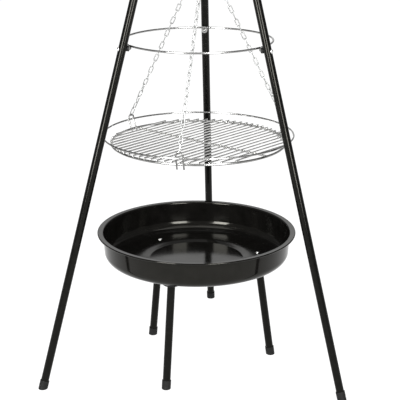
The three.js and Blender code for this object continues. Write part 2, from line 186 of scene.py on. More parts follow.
# ---- Shapes: each is (points, faces) ----
def turned(rows, steps=48, closed=False):
    """Rows of (radius, height) or (radius, height, outline) about Z, listed upwards along the outside.

    An outline gives the largest radius at an angle, so a row takes the smaller of the two."""
    points, faces, starts = [], [], []
    for row in rows:
        starts.append(len(points))
        if row[0] == 0:
            points.append(Vector((0, 0, row[1])))
            continue
        for step in range(steps):
            angle = 2 * pi * step / steps
            reach = min(row[0], row[2](angle)) if len(row) > 2 else row[0]
            points.append(Vector((reach * cos(angle), reach * sin(angle), row[1])))
    pairs = [(i, i + 1) for i in range(len(rows) - 1)]
    if closed:
        pairs.append((len(rows) - 1, 0))
    for low, high in pairs:
        for step in range(steps):
            after = (step + 1) % steps
            corners = []
            for row, place in ((low, step), (low, after), (high, after), (high, step)):
                corner = starts[row] + (place if rows[row][0] else 0)
                if corner not in corners:
                    corners.append(corner)
            if len(corners) > 2:
                faces.append(corners)
    return points, faces


def hexagon(across_flats):
    return lambda angle: across_flats / 2 / cos((angle + pi / 6) % (pi / 3) - pi / 6)


def cross(length, width):
    """The outline of a cross recess, with arms of that length and width."""
    def reach(angle):
        off = abs((angle + pi / 4) % (pi / 2) - pi / 4)
        return min(length / 2 / cos(off), width / 2 / max(sin(off), 1e-6))
    return reach


def arc(centre, radius, start, end, steps=6):
    """[x, z] points round a centre, angles in degrees from +X towards +Z."""
    turns = [radians(start + (end - start) * step / steps) for step in range(steps + 1)]
    return [(centre[0] + radius * cos(turn), centre[1] + radius * sin(turn)) for turn in turns]


def rounded(corners, radius, steps=6):
    """A path through the corners with each inner corner rounded off."""
    path = [corners[0]]
    for before, corner, after in zip(corners, corners[1:], corners[2:]):
        reach = min(radius, (before - corner).length * 0.48, (after - corner).length * 0.48)
        start = corner + (before - corner).normalized() * reach
        end = corner + (after - corner).normalized() * reach
        for step in range(steps + 1):
            share = step / steps
            path.append(start.lerp(corner, share).lerp(corner.lerp(end, share), share))
    return path + [corners[-1]]


def swept(path, radius, sides=16, closed=False, edge=0.5):
    """A wire along a path. An open one has its ends rounded off by edge times the radius."""
    count = len(path)
    tangents = []
    for i, point in enumerate(path):
        before = path[i - 1] if closed or i else point
        after = path[(i + 1) % count] if closed or i < count - 1 else point
        tangents.append((after - before).normalized())
    across = tangents[0].orthogonal().normalized()
    rings = []
    for i, (point, tangent) in enumerate(zip(path, tangents)):
        if i:
            across = tangents[i - 1].rotation_difference(tangent) @ across
        across = (across - tangent * across.dot(tangent)).normalized()
        rings.append((point, tangent, across.copy(), radius))
    if not closed:
        ends = []
        for (point, tangent, side, _), sign in ((rings[0], -1), (rings[-1], 1)):
            bend = edge * radius
            ends.append([(point - sign * tangent * bend * (1 - sin(turn)), tangent, side,
                          radius - bend * (1 - cos(turn)))
                         for turn in (pi / 2, pi / 3, pi / 6, 0)])
        rings = ends[0] + rings[1:-1] + ends[1][::-1]
    points, faces = [], []
    for point, tangent, side, reach in rings:
        other = tangent.cross(side)
        for step in range(sides):
            turn = 2 * pi * step / sides
            points.append(point + reach * (cos(turn) * side + sin(turn) * other))
    for i in range(len(rings) if closed else len(rings) - 1):
        low, high = i * sides, (i + 1) % len(rings) * sides
        for step in range(sides):
            after = (step + 1) % sides
            faces.append([low + step, low + after, high + after, high + step])
    if not closed:
        faces.append(list(range(sides))[::-1])
        faces.append(list(range(len(points) - sides, len(points))))
    return points, faces


def hoop(radius, wire, steps=180, sides=16):
    turns = [2 * pi * step / steps for step in range(steps)]
    return swept([Vector((radius * cos(t), radius * sin(t), 0)) for t in turns], wire, sides, True)


def plate(outline, thickness, edge, holes=()):
    """A flat plate in the XY plane, centred on z = 0, with softened edges and round holes."""
    data = bpy.data.curves.new("outline", "CURVE")
    data.dimensions = "2D"
    data.fill_mode = "BOTH"
    data.extrude = thickness / 2 - edge
    data.bevel_depth = edge
    data.bevel_resolution = 2
    data.offset = -edge
    rings = [outline]
    for x, y, radius in holes:
        rings.append(arc((x, y), radius, 0, 345, 23)[::-1])
    for ring in rings:
        spline = data.splines.new("POLY")
        spline.points.add(len(ring) - 1)
        for point, (x, y) in zip(spline.points, ring):
            point.co = (x, y, 0, 1)
        spline.use_cyclic_u = True
    curve = bpy.data.objects.new("outline", data)
    mesh = bpy.data.meshes.new_from_object(curve)
    bpy.data.objects.remove(curve)
    return [v.co.copy() for v in mesh.vertices], [list(face.vertices) for face in mesh.polygons]


def blob(size, steps=12):
    """A drop of weld metal, size being its half width along each axis."""
    rows = [(0, -1)] + [(cos(radians(a)), sin(radians(a))) for a in (-60, -30, 0, 30, 60)] + [(0, 1)]
    points, faces = turned(rows, steps)
    return [Vector(map(lambda a, b: a * b, point, size)) for point in points], faces


def placed(shape, matrix):
    return [matrix @ point for point in shape[0]], shape[1]


def joined(*shapes):
    points, faces = [], []
    for shape in shapes:
        start = len(points)
        points.extend(shape[0])
        faces.extend([corner + start for corner in face] for face in shape[1])
    return points, faces


def aimed(origin, along, side=UP):
    """A frame at origin with Z along one direction, and X as near to side as it can be."""
    z = along.normalized()
    x = side - z * side.dot(z)
    x = (x if x.length > 1e-6 else z.orthogonal()).normalized()
    y = z.cross(x)
    return Matrix.Translation(origin) @ Matrix((x, y, z)).transposed().to_4x4()


def piece(name, shape, material, body, nodes=(), sharp=35):
    """A visible piece that rides on a body and replaces those CAD nodes."""
    mesh = bpy.data.meshes.new(name)
    points, faces = shape
    mesh.from_pydata(points, [], faces)
    mesh.update()
    mesh.shade_smooth()
    mesh.set_sharp_from_angle(angle=radians(sharp))
    mesh.materials.append(material)
    made = bpy.data.objects.new(name, mesh)
    bpy.context.scene.collection.objects.link(made)
    made.modifiers.new("flat_faces_stay_flat", "WEIGHTED_NORMAL").keep_sharp = True
    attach(made, body)
    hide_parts(*nodes)
    return made


# ---- Materials ----
class Surface:
    """A Principled material whose colour, roughness and relief vary by noise in object space."""

    def __init__(self, name, metallic, roughness):
        self.material = bpy.data.materials.new(name)
        self.material.use_nodes = True
        self.nodes = self.material.node_tree.nodes
        self.links = self.material.node_tree.links
        self.shader = self.nodes["Principled BSDF"]
        self.shader.inputs["Metallic"].default_value = metallic
        self.shader.inputs["Roughness"].default_value = roughness
        self.place = self.nodes.new("ShaderNodeTexCoord").outputs["Object"]
        self.relief = None

    def noise(self, scale, detail=3):
        texture = self.nodes.new("ShaderNodeTexNoise")
        texture.inputs["Scale"].default_value = scale
        texture.inputs["Detail"].default_value = detail
        self.links.new(self.place, texture.inputs["Vector"])
        return texture.outputs["Fac"]

    def ramp(self, value, stops):
        ramp = self.nodes.new("ShaderNodeValToRGB")
        elements = ramp.color_ramp.elements
        while len(elements) < len(stops):
            elements.new(0.5)
        for element, (place, colour) in zip(elements, stops):
            element.position = place
            element.color = (*colour, 1)
        self.links.new(value, ramp.inputs["Fac"])
        return ramp.outputs["Color"]

    def between(self, value, low, high, start=0.3, end=0.7):
        """value, taken from start..end to low..high."""
        spread = self.nodes.new("ShaderNodeMapRange")
        spread.inputs["From Min"].default_value = start
        spread.inputs["From Max"].default_value = end
        spread.inputs["To Min"].default_value = low
        spread.inputs["To Max"].default_value = high
        self.links.new(value, spread.inputs["Value"])
        return spread.outputs["Result"]

    def colour(self, source):
        self.links.new(source, self.shader.inputs["Base Color"])

    def roughness(self, source):
        self.links.new(source, self.shader.inputs["Roughness"])

    def bump(self, height, depth):
        """Adds relief of that depth in metres to what is there."""
        bump = self.nodes.new("ShaderNodeBump")
        bump.inputs["Distance"].default_value = depth
        self.links.new(height, bump.inputs["Height"])
        if self.relief:
            self.links.new(self.relief, bump.inputs["Normal"])
        self.relief = bump.outputs["Normal"]
        self.links.new(self.relief, self.shader.inputs["Normal"])


WARM_GLOSS = (1, 0.98, 0.88, 1)  # tint of the reflections on black


def black_paint():
    """Semi-gloss powder coat: fine orange peel, with slightly duller patches."""
    paint = Surface("black_powder_coat", 0, 0.2)
    paint.colour(paint.ramp(paint.noise(90), [(0.3, (0.0015, 0.0015, 0.0014)),
                                              (0.7, (0.003, 0.003, 0.0028))]))
    paint.roughness(paint.between(paint.noise(35), 0.09, 0.15))
    paint.bump(paint.noise(900, 2), 0.00002)
    paint.shader.inputs["Specular IOR Level"].default_value = 0.11
    paint.shader.inputs["Specular Tint"].default_value = WARM_GLOSS
    return paint.material


def black_enamel():
    """Glassy fired enamel over pressed sheet, which is never quite flat."""
    enamel = Surface("black_enamel", 0, 0.08)
    enamel.colour(enamel.ramp(enamel.noise(40), [(0.3, (0.002, 0.0019, 0.0017)),
                                                 (0.7, (0.0035, 0.0033, 0.003))]))
    enamel.roughness(enamel.between(enamel.noise(14), 0.08, 0.14))
    enamel.bump(enamel.noise(7, 1), 0.0003)
    enamel.bump(enamel.noise(500, 2), 0.00001)
    enamel.shader.inputs["Specular IOR Level"].default_value = 0.19
    enamel.shader.inputs["Specular Tint"].default_value = WARM_GLOSS
    return enamel.material


def black_plastic():
    """Moulded plastic with a fine matt grain."""
    plastic = Surface("black_plastic", 0, 0.55)
    plastic.colour(plastic.ramp(plastic.noise(120), [(0.3, (0.004, 0.004, 0.0038)),
                                                     (0.7, (0.007, 0.007, 0.0067))]))
    plastic.roughness(plastic.between(plastic.noise(60), 0.45, 0.62))
    plastic.bump(plastic.noise(1400, 3), 0.00008)
    plastic.shader.inputs["Specular IOR Level"].default_value = 0.15
    return plastic.material


def chrome_plate(name, dark, light, low, high):
    """Plate over drawn wire, between two greys and two roughnesses."""
    chrome = Surface(name, 1, low)
    chrome.colour(chrome.ramp(chrome.noise(60), [(0.3, (dark, dark, dark * 0.98)),
                                                 (0.7, (light, light, light * 0.98))]))
    chrome.roughness(chrome.between(chrome.noise(45, 4), low, high))
    chrome.bump(chrome.noise(700, 2), 0.00003)
    return chrome.material


def zinc_plate():
    """Zinc: softer than chrome, with a mottled bloom."""
    zinc = Surface("zinc_plate", 1, 0.45)
    bloom = zinc.noise(260, 4)
    zinc.colour(zinc.ramp(bloom, [(0.3, (0.36, 0.365, 0.36)), (0.55, (0.43, 0.435, 0.43)),
                                  (0.75, (0.5, 0.5, 0.495))]))
    zinc.roughness(zinc.between(bloom, 0.38, 0.55))
    zinc.bump(zinc.noise(1100, 3), 0.00004)
    return zinc.material


PAINT = black_paint()
ENAMEL = black_enamel()
PLASTIC = black_plastic()
CHROME = chrome_plate("bright_chrome", 0.62, 0.84, 0.1, 0.24)
# the hoops and acorn nuts are the bars' chrome plate given a darker grey, which paints shade on them
SHADED_CHROME = chrome_plate("hoop_chrome_painted_shade", 0.27, 0.37, 0.14, 0.28)
# the hanger loops are the bars' chrome plate, made rougher and given a much darker grey; the darker grey
# is painted shade
DULL_SHADED_CHROME = chrome_plate("dull_chrome_painted_shade", 0.15, 0.24, 0.2, 0.35)
WELD = chrome_plate("weld_chrome", 0.35, 0.48, 0.28, 0.45)
ZINC = zinc_plate()


# ---- Feet ----
def foot_cap(matrix):
    """A plug-on foot: a soft lip at its mouth and a sole that lies flat on the ground."""
    sole = 3 * MM
    bore = TUBE + 0.3 * MM
    outside = [
        (0, 0), (CAP - 3 * MM, 0), (CAP - 1.2 * MM, 0.1 * MM), (CAP - 0.4 * MM, 0.7 * MM), (CAP, 1.8 * MM),
        (CAP, 5.5 * MM), (CAP - 0.35 * MM, 6.2 * MM), (CAP - 0.35 * MM, 7.4 * MM), (CAP, 8.1 * MM),
        (CAP, CAP_HEIGHT - 1.6 * MM),
    ]
    lip = arc((CAP - 0.7 * MM, CAP_HEIGHT - 0.7 * MM), 0.7 * MM, 0, 180, 5)
    inside = [(bore, CAP_HEIGHT - 1.6 * MM), (bore, CAP_START), (0, CAP_START)]
    points, faces = turned(outside + lip + inside, 40)
    up = matrix.col[2].xyz
    level = []
    for point in points:
        world = matrix @ point
        if point.z < sole:
            world += up * ((point.z - world.z) / up.z)
        level.append(world)
    return level, faces


# ---- Tripod legs ----
def tube_end(radius, inside, height, side):
    """The rounded end of a tube, side 1 at its top and -1 at its bottom."""
    centre = (radius - TUBE_EDGE, height - side * TUBE_EDGE)
    if side > 0:
        return arc(centre, TUBE_EDGE, 0, 90, 4) + [(inside, height)]
    return [(inside, height)] + arc(centre, TUBE_EDGE, -90, 0, 4)


def leg_section(index):
    """One tube of a leg, in the leg's own frame; every one but the lowest has a spigot."""
    top = (index + 1) * SECTION - SECTION_GAP / 2
    if index == 0:
        rows = tube_end(TUBE, TUBE_INSIDE, CAP_START, -1) + tube_end(TUBE, TUBE_INSIDE, top, 1)
        return turned(rows, 48, closed=True)
    shoulder = index * SECTION + SECTION_GAP / 2
    bore = SPIGOT - 1.2 * MM
    rows = [(bore, shoulder - SPIGOT_LENGTH), (SPIGOT - 0.8 * MM, shoulder - SPIGOT_LENGTH),
            (SPIGOT, shoulder - SPIGOT_LENGTH + 2 * MM), (SPIGOT, shoulder)]
    rows += arc((TUBE - TUBE_EDGE, shoulder + TUBE_EDGE), TUBE_EDGE, -90, 0, 4)
    rows += tube_end(TUBE, TUBE_INSIDE, top, 1)
    rows += [(TUBE_INSIDE, shoulder + 2 * MM), (bore, shoulder)]
    return turned(rows, 48, closed=True)


def leg_frame(foot, top, azimuth):
    """Z up along the leg from the middle of its foot, X outwards."""
    return aimed(foot, top - foot, direction(azimuth))


def make_legs():
    for side, azimuth in SIDES.items():
        foot = mount(f"foot_{side}")
        matrix = leg_frame(foot, middle(f"pivot_bolt_{side}"), azimuth)
        for index, part in enumerate(PARTS):
            piece(f"tube_{side}_{part}", placed(leg_section(index), matrix), PAINT, "tripod",
                  [f"leg_{side}_{part}"])
        piece(f"foot_cap_{side}", foot_cap(matrix), PLASTIC, "tripod", [f"leg_{side}_cap"])


# ---- Fasteners ----
def pan_head(radius, height, recess):
    """A domed screw head on z = 0 with a recess whose outline is given."""
    dome = [(radius * cos(radians(a)), height * (0.25 + 0.75 * sin(radians(a))))
            for a in (0, 20, 40, 58, 70)]
    floor = height * 0.35
    rows = [(0, 0), (radius * 0.96, 0), (radius, height * 0.1)] + dome
    rows += [(radius, height * 0.97, recess), (radius, floor, recess), (0, floor)]
    return turned(rows, 72)


def threaded(radius, start, end, pitch, depth):
    """A screw thread between two heights, which fades to its root at both ends."""
    steps, per_turn = 24, 6
    rows = ceil((end - start) / pitch * per_turn)
    points, faces = [], []
    for row in range(rows + 1):
        height = start + (end - start) * row / rows
        fade = min(1, row / 3, (rows - row) / 3)
        for step in range(steps):
            turn = 2 * pi * step / steps
            wave = abs(((height / pitch - step / steps) % 1) * 2 - 1)
            reach = radius - depth * (wave * fade + 1 - fade)
            points.append(Vector((reach * cos(turn), reach * sin(turn), height)))
    for row in range(rows):
        for step in range(steps):
            after = (step + 1) % steps
            low, high = row * steps, (row + 1) * steps
            faces.append([low + step, low + after, high + after, high + step])
    faces.append(list(range(steps))[::-1])
    faces.append(list(range(rows * steps, (rows + 1) * steps)))
    return points, faces


def hex_nut(across, height, bore):
    """A nut on z = 0 with chamfered corners and a chamfered bore."""
    flat, corner, chamfer = hexagon(across), across / sqrt(3), height * 0.13
    rows = [(bore, chamfer / 2), (bore + chamfer / 2, 0), (across * 0.48, 0), (corner, chamfer, flat)]
    rows += [(corner, height - chamfer, flat), (across * 0.48, height), (bore + chamfer / 2, height),
             (bore, height - chamfer / 2)]
    return turned(rows, 72, closed=True)


def acorn_nut(across, base, dome):
    """A closed nut on z = 0: a hexagon under a polished dome."""
    flat, corner = hexagon(across), across / sqrt(3)
    rows = [(0, 0.3 * MM), (across * 0.3, 0.3 * MM), (across * 0.34, 0), (across * 0.47, 0)]
    rows += [(corner, 0.5 * MM, flat), (corner, base - 0.5 * MM, flat), (across * 0.48, base)]
    radius = across * 0.44
    rows += [(radius, base + 0.2 * MM)]
    rows += [(radius * cos(radians(a)), base + 0.2 * MM + dome * sin(radians(a)))
             for a in (15, 35, 55, 75)]
    return turned(rows + [(0, base + 0.2 * MM + dome)], 72)


# ---- Spreader ring ----
def tab_outline(width, rise):
    """A U-bottomed plate round a bolt at the origin, up to rise."""
    half = width / 2
    soft = 2 * MM
    outline = arc((0, 0), half, 180, 360, 20)
    outline += arc((half - soft, rise - soft), soft, 0, 90, 4)
    outline += arc((soft - half, rise - soft), soft, 90, 180, 4)
    return outline


def make_spreader():
    wire_height = middle("ring_nut_rear").z + RING_ABOVE_BOLT
    inner = RING_RADIUS + RING_WIRE - TAB_THICKNESS
    outer = RING_RADIUS + RING_WIRE
    shapes = [placed(hoop(RING_RADIUS, RING_WIRE, 240), Matrix.Translation(AXIS + UP * wire_height))]
    welds = []
    for side, azimuth in SIDES.items():
        bolt = middle(f"ring_nut_{side}").z
        out = direction(azimuth)
        outline = tab_outline(TAB_WIDTH, wire_height - bolt + TAB_ABOVE_WIRE)
        tab = plate(outline, TAB_THICKNESS, 0.35 * MM, [(0, 0, SCREW_HOLE)])
        across = Matrix((UP.cross(out), UP, out)).transposed().to_4x4()
        shapes.append(placed(tab, Matrix.Translation(polar(azimuth, (inner + outer) / 2, bolt)) @ across))
        for end in (-1, 1):
            at = polar(azimuth, RING_RADIUS + 0.4 * MM, wire_height) + UP.cross(out) * end * 5 * MM
            welds.append(placed(blob((2.6 * MM, 3.6 * MM, 2.9 * MM)), aimed(at, UP, out)))
        make_ring_fastener(side, azimuth, bolt, inner, outer)
    piece("spreader_hoop", joined(*shapes), SHADED_CHROME, "tripod", ["spreader_ring"])
    piece("spreader_welds", joined(*welds), WELD, "tripod")


def make_ring_fastener(side, azimuth, bolt, inner, outer):
    """Screw, acorn nut and saddle at height bolt; the tab lies between radii inner and outer."""
    out = direction(azimuth)
    matrix = leg_frame(mount(f"foot_{side}"), middle(f"pivot_bolt_{side}"), azimuth)
    splay = acos(matrix.col[2].z)
    leg = (matrix.translation - AXIS).dot(out) - bolt * tan(splay)
    nut_seat = polar(azimuth, inner - 0.3 * MM, bolt)
    nut = placed(acorn_nut(NUT_ACROSS, 3.2 * MM, 4 * MM), aimed(nut_seat, -out))
    piece(f"acorn_nut_{side}", nut, SHADED_CHROME, "tripod", [f"ring_nut_{side}"])

    head_seat = leg + TUBE / cos(splay) - 0.2 * MM
    head = placed(pan_head(SCREW_HEAD, 3 * MM, cross(4.6 * MM, 1.1 * MM)),
                  aimed(polar(azimuth, head_seat, bolt), out))
    shank = swept([polar(azimuth, inner - 4 * MM, bolt), polar(azimuth, head_seat + MM, bolt)], SCREW)
    piece(f"ring_screw_{side}", joined(head, shank), CHROME, "tripod", [f"ring_bolt_{side}"])
    make_saddle(side, azimuth, bolt, outer + 0.3 * MM, leg, splay)


def make_saddle(side, azimuth, bolt, start, leg, splay):
    """A collar round the screw, flat against the tab at radius start and hollowed to fit the tube.

    At the bolt's height, the tube's middle is at radius leg."""
    out = direction(azimuth)
    # Radius, and the share of the way from the tube to the tab.
    rows = [(6.1 * MM, 0), (6.5 * MM, 0.06), (6.7 * MM, 0.25), (6.7 * MM, 0.5), (6.7 * MM, 1),
            (5.6 * MM, 1), (2.9 * MM, 1), (2.9 * MM, 0)]
    points, faces = turned(rows, 48, closed=True)
    turn = aimed(Vector(), out)
    shaped = []
    for point in points:
        offset = turn @ Vector((point.x, point.y, 0))
        sideways = offset.dot(UP.cross(out))
        skin = leg - offset.z * tan(splay) - sqrt((TUBE + 0.3 * MM) ** 2 - sideways ** 2) / cos(splay)
        reach = start + (skin - start) * (1 - point.z)
        shaped.append(polar(azimuth, reach, bolt) + offset)
    piece(f"saddle_{side}", (shaped, [face[::-1] for face in faces]), PLASTIC, "tripod",
          [f"ring_saddle_{side}"])


# ---- Head: plate, lugs and pivots ----
def make_head():
    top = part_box("head_plate")[1].z
    under = top - HEAD_THICKNESS
    bore, edge = 4.3 * MM, 1.2 * MM
    rows = [(bore, under), (HEAD_RADIUS - MM, under)]
    rows += arc((HEAD_RADIUS - edge, under + edge), edge, -90, 0, 4)
    rows += arc((HEAD_RADIUS - edge, top - edge), edge, 0, 90, 4) + [(bore, top)]
    shapes = [placed(turned(rows, 96, closed=True), Matrix.Translation(AXIS))]
    for side, azimuth in SIDES.items():
        out, sideways = direction(azimuth), UP.cross(direction(azimuth))
        pivot = middle(f"pivot_bolt_{side}")
        centre = polar(azimuth, (pivot - AXIS).dot(out), pivot.z)
        height = under - pivot.z + 0.4 * MM
        outline = arc((0, 0), LUG_HALF_WIDTH, 180, 360, 20)
        outline += [(LUG_HALF_WIDTH, height), (-LUG_HALF_WIDTH, height)]
        upright = Matrix((out, UP, out.cross(UP))).transposed().to_4x4()
        for sign in (-1, 1):
            lug = plate(outline, LUG_THICKNESS, 0.4 * MM, [(0, 0, SCREW_HOLE)])
            at = centre + sideways * sign * LUG_MIDDLE
            shapes.append(placed(lug, Matrix.Translation(at) @ upright))
        make_pivot(side, azimuth, centre)
    piece("head", joined(*shapes), PAINT, "tripod", ["head_plate"])


def make_pivot(side, azimuth, centre):
    """The screw that a leg turns on, with a socket in its head, and its nut."""
    across = UP.cross(direction(azimuth))
    seat = centre + across * PIVOT_SEAT
    head = placed(pan_head(SCREW_HEAD, 3.7 * MM, hexagon(3 * MM)), aimed(seat, across))
    thread = threaded(SCREW, -PIVOT_SEAT - 7 * MM, -2 * MM, 0.8 * MM, 0.3 * MM)
    plain = swept([centre - across * 3 * MM, seat + across * MM], SCREW)
    screw = joined(head, placed(thread, aimed(centre, across)), plain)
    piece(f"pivot_screw_{side}", screw, ZINC, "tripod", [f"pivot_bolt_{side}"])
    nut_seat = centre - across * (PIVOT_SEAT + 0.1 * MM)
    nut = placed(hex_nut(NUT_ACROSS, 4.6 * MM, SCREW), aimed(nut_seat, -across))
    piece(f"pivot_hex_nut_{side}", nut, ZINC, "tripod", [f"pivot_nut_{side}"])


# ---- Hanging gear; U is the plane of the hooks ----
U = direction(GRATE_TURN)
V = UP.cross(U)


def in_hook_plane(points):
    return [AXIS + U * x + UP * z for x, z in points]


def make_eye_bolt():
    low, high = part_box("eye_bolt")
    eye = middle("eye_bolt")
    eye.z = low.z + EYE_RADIUS + EYE_WIRE
    ring = placed(hoop(EYE_RADIUS, EYE_WIRE, 64, 24), aimed(eye, U, UP))
    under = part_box("head_plate")[1].z - HEAD_THICKNESS
    start = eye.z + EYE_RADIUS
    shank = turned([(0, start), (EYE_WIRE, start), (EYE_WIRE, under), (0, under)], 32)
    collar = turned([(0, under - 2.8 * MM), (7.2 * MM, under - 2.8 * MM), (8 * MM, under - 2.2 * MM),
                     (8 * MM, under - 0.9 * MM), (7.2 * MM, under - 0.3 * MM), (0, under - 0.3 * MM)], 48)
    thread = threaded(EYE_WIRE, under, high.z, 1.25 * MM, 0.5 * MM)
    base = Matrix.Translation(AXIS)
    bolt = placed(joined(shank, collar, thread), base)
    piece("eye", joined(ring, bolt), ZINC, "eye_bolt", ["eye_bolt"])
    nut_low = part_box("eye_bolt_nut")[0].z
    nut = placed(hex_nut(13 * MM, 6.5 * MM, EYE_WIRE + 0.05 * MM),
                 Matrix.Translation(AXIS + UP * nut_low))
    piece("eye_hex_nut", nut, ZINC, "eye_bolt", ["eye_bolt_nut"])


def hook_path(bend_high, high, bend_low, low, offset):
    """An S: an upper bend that opens downwards and a lower one that opens upwards."""
    upper = arc((0, high), bend_high, 215, 0, 24)
    lower = arc((offset, low), bend_low, 180, 325, 20)
    start, end = Vector((*upper[-1], 0)), Vector((*lower[0], 0))
    straight = []
    for step in range(1, 12):
        share = step / 12
        ease = share * share * (3 - 2 * share)
        straight.append((start.x + (end.x - start.x) * ease, start.y + (end.y - start.y) * share))
    return in_hook_plane(upper + straight + lower)


def make_hooks():
    low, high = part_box("top_hook")
    path = hook_path(TOP_BEND, high.z - HOOK_WIRE - TOP_BEND, HOOK_BEND, low.z + HOOK_WIRE + HOOK_BEND, 0)
    piece("upper_hook", swept(path, HOOK_WIRE, 20, edge=0.8), ZINC, "top_hook", ["top_hook"])
    low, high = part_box("chain_hook")
    offset = (middle("master_ring") - AXIS).dot(U)
    path = hook_path(LOWER_TOP_BEND, high.z - HOOK_WIRE - LOWER_TOP_BEND, HOOK_BEND,
                     low.z + HOOK_WIRE + HOOK_BEND, offset)
    piece("lower_hook", swept(path, HOOK_WIRE, 20, edge=0.8), ZINC, "grate", ["chain_hook"])


def link(inner_length, width, wire):
    """A welded link lying along -Z in the XZ plane, its inner top at the origin."""
    bend = width / 2 - wire
    top, bottom = wire - bend, bend - wire - inner_length
    path = arc((0, top), bend, 0, 180, 10) + arc((0, bottom), bend, 180, 360, 10)
    loop = swept([Vector((x, 0, z)) for x, z in path], wire, 12, True)
    seam = placed(blob((wire * 1.16, wire * 1.16, wire * 0.9)),
                  Matrix.Translation((bend, 0, -inner_length / 2)))
    return joined(loop, seam)


def make_hoist():
    """Links turned by a quarter turn from each to the next."""
    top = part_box("hoist_chain")[1].z - 2 * HOIST_WIRE
    shape = link(HOIST_PITCH, HOIST_WIDTH, HOIST_WIRE)
    shapes = []
    for number in range(HOIST_LINKS):
        at = AXIS + UP * (top - number * HOIST_PITCH)
        shapes.append(placed(shape, aimed(at, UP, U if number % 2 else V)))
    piece("hoist_links", joined(*shapes), ZINC, "hoist_chain", ["hoist_chain"])


def make_master_ring():
    """Returns the ring's middle and radius, for the chains that hang in it."""
    low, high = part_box("master_ring")
    radius = (high.z - low.z) / 2 - HOOK_WIRE
    ring = hoop(radius, HOOK_WIRE, 72, 20)
    centre = middle("master_ring")
    piece("ring_for_chains", placed(ring, aimed(centre, U, UP)), ZINC, "grate",
          ["master_ring"])
    return centre, radius


def chain(start, end, bars, wires, middle_turn):
    """Taut links from one wire's middle to another's, the first and last hung square on those wires."""
    along = (end - start).normalized()
    length = (end - start).length + wires[0] + wires[1]
    pitch = (length - LONG_LINK) / LINKS
    first, last = [(bar - along * bar.dot(along)).normalized().cross(along) for bar in bars]
    other = along.cross(first)
    last_turn = degrees(atan2(last.dot(other), last.dot(first))) - 90 * LINKS
    last_turn = middle_turn + (last_turn - middle_turn + 90) % 180 - 90
    shapes = []
    place = start - along * wires[0]
    for number in range(LINKS + 1):
        near_start = max(0, 1 - number / END_LINKS)
        near_end = max(0, 1 - (LINKS - number) / END_LINKS)
        turn = middle_turn * (1 - near_start) + (last_turn - middle_turn) * near_end
        angle = radians(90 * number + turn)
        side = first * cos(angle) + other * sin(angle)
        inner_length = pitch if number < LINKS else LONG_LINK
        shapes.append(placed(link(inner_length, LINK_WIDTH, LINK_WIRE), aimed(place, -along, side)))
        place = place + along * inner_length
    return joined(*shapes)


def make_grate_chains(ring_centre, ring_radius):
    for number, azimuth in enumerate(THIRDS, 1):
        spread = RING_SPREAD * (0, 1, -1)[number - 1]
        drop = sqrt(ring_radius ** 2 - spread ** 2)
        start = ring_centre + V * spread - UP * drop
        ring_bar = V * drop + UP * spread
        apex = far_end(f"hanger_{number}", 1) - UP * HANGER_WIRE
        hanger_bar = UP.cross(direction(GRATE_TURN + azimuth))
        shape = chain(start, apex, (ring_bar, hanger_bar), (HOOK_WIRE, HANGER_WIRE),
                      MIDDLE_TURNS[number - 1])
        piece(f"chain_{number}", shape, ZINC, "grate", [f"grate_chain_{number}"])


# ---- Grate ----
def rod(centre, half, wire, sides):
    """A straight wire, half being the way from its middle to one end."""
    return swept([centre - half, centre - half / 3, centre + half / 3, centre + half], wire, sides)


def make_hoop(name, node, wire):
    """A level hoop round the axis. Returns its radius and height."""
    low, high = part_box(node)
    radius = (high.x - low.x) / 2 - wire
    height = (low.z + high.z) / 2
    shape = placed(hoop(radius, wire, 240), Matrix.Translation(AXIS + UP * height))
    piece(name, shape, SHADED_CHROME, "grate", [node])
    return radius, height


def make_bars(rim_radius, rim_height):
    """Parallel bars across the rim, and a cross bar under them. Returns their welds."""
    height = rim_height + RIM_WIRE + BAR
    along, across = direction(BARS_TURN + 90), direction(BARS_TURN)
    bars, welds = [], []
    for number in range(-BARS_PER_SIDE, BARS_PER_SIDE + 1):
        offset = number * BAR_PITCH
        on_rim = sqrt(rim_radius ** 2 - offset ** 2)
        centre = AXIS + across * offset + UP * height
        bars.append(rod(centre, along * (on_rim + BAR_OVERHANG), BAR, 12))
        for end in (-1, 1):
            at = centre + along * end * on_rim - UP * (BAR + 0.1 * MM)
            welds.append(placed(blob((3.4 * MM, 2.3 * MM, 1.3 * MM)), aimed(at, UP, at - AXIS)))
        at = centre - UP * (BAR - 0.1 * MM)
        welds.append(placed(blob((2.6 * MM, 2.4 * MM, 1.1 * MM)), aimed(at, UP, along)))
    centre = AXIS + UP * (height - BAR - CROSS_BAR + 0.4 * MM)
    reach = across * (rim_radius - RIM_WIRE - 0.5 * MM)
    bars.append(rod(centre, reach, CROSS_BAR, 14))
    for end in (-1, 1):
        at = centre + end * reach
        welds.append(placed(blob((2.2 * MM, 3.2 * MM, 2.6 * MM)), aimed(at, UP, across)))
    piece("bars", joined(*bars), CHROME, "grate", ["grate_bars"])
    return welds


